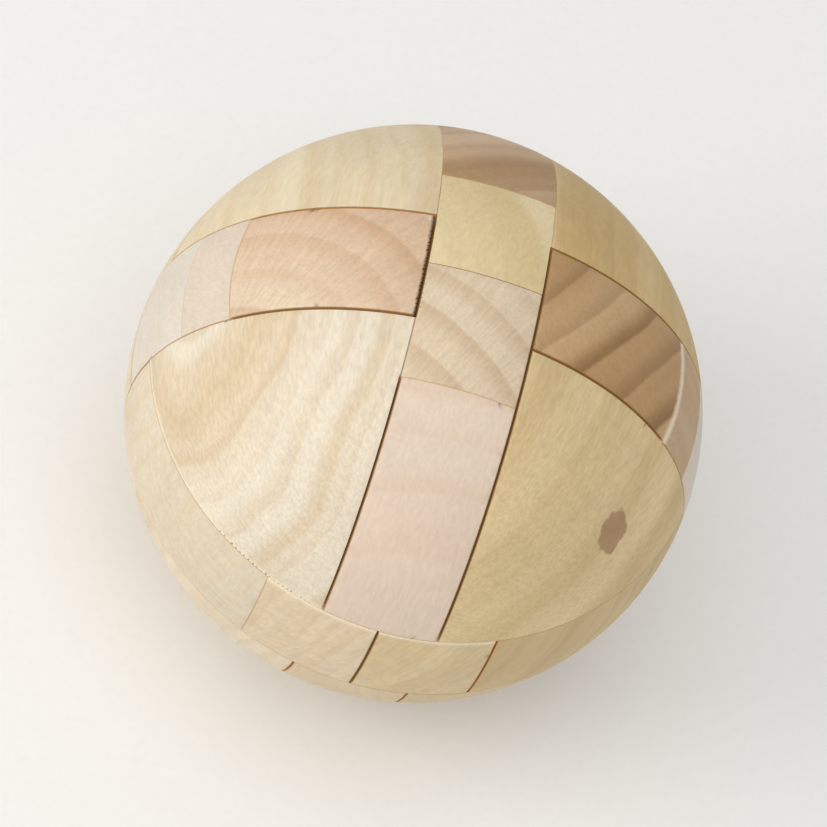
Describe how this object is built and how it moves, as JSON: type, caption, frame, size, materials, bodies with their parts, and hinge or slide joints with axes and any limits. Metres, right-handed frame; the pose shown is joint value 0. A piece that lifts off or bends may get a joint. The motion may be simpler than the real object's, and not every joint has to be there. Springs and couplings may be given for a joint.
{
  "type": "wooden ball burr puzzle",
  "caption": "Interlocking wooden burr puzzle turned to a ball, with notched sticks, glued blocks and a key piece that slides out.",
  "frame": {"origin": "centre of the ball, where the six sticks cross", "axes": "+Z along the key stick, the way the key slides out; +X and +Y along the other two stick pairs"},
  "size_m": [0.074, 0.074, 0.074],
  "materials": {
    "pale_sapwood": "turned and sanded, unfinished",
    "yellow_sapwood": "turned and sanded, unfinished",
    "pinkish_wood": "turned and sanded, unfinished",
    "brown_heartwood": "turned and sanded, unfinished"
  },
  "bodies": {
    "key": {"stick_z_front": "pinkish_wood", "cap_front_top": "pinkish_wood", "corner_left_front_top": "pale_sapwood"},
    "locked_ball": {"stick_z_back": "yellow_sapwood", "stick_y_left": "pale_sapwood", "stick_y_right": "yellow_sapwood", "stick_x_upper": "pale_sapwood", "stick_x_lower": "pale_sapwood", "cap_back_top": "brown_heartwood", "cap_back_bottom": "pinkish_wood", "cap_front_bottom": "pale_sapwood", "spacer_left_top": "pinkish_wood", "wedge_left_top": "brown_heartwood", "spacer_right_top": "brown_heartwood", "wedge_right_top": "brown_heartwood", "spacer_left_bottom": "pale_sapwood", "wedge_left_bottom": "pinkish_wood", "spacer_right_bottom": "pale_sapwood", "wedge_right_bottom": "brown_heartwood", "cheek_left_front": "pale_sapwood", "cheek_right_front": "yellow_sapwood", "cheek_left_back": "pale_sapwood", "cheek_right_back": "yellow_sapwood", "corner_right_front_top": "yellow_sapwood", "corner_left_back_top": "pale_sapwood", "corner_right_back_top": "yellow_sapwood", "corner_left_front_bottom": "pale_sapwood", "corner_right_front_bottom": "yellow_sapwood", "corner_left_back_bottom": "pale_sapwood", "corner_right_back_bottom": "yellow_sapwood"}
  },
  "joints": [
    {"name": "key_slide", "type": "slide", "parent": "locked_ball", "child": "key", "axis": [0, 0, 1], "range_m": [0, 0.08]}
  ]
}
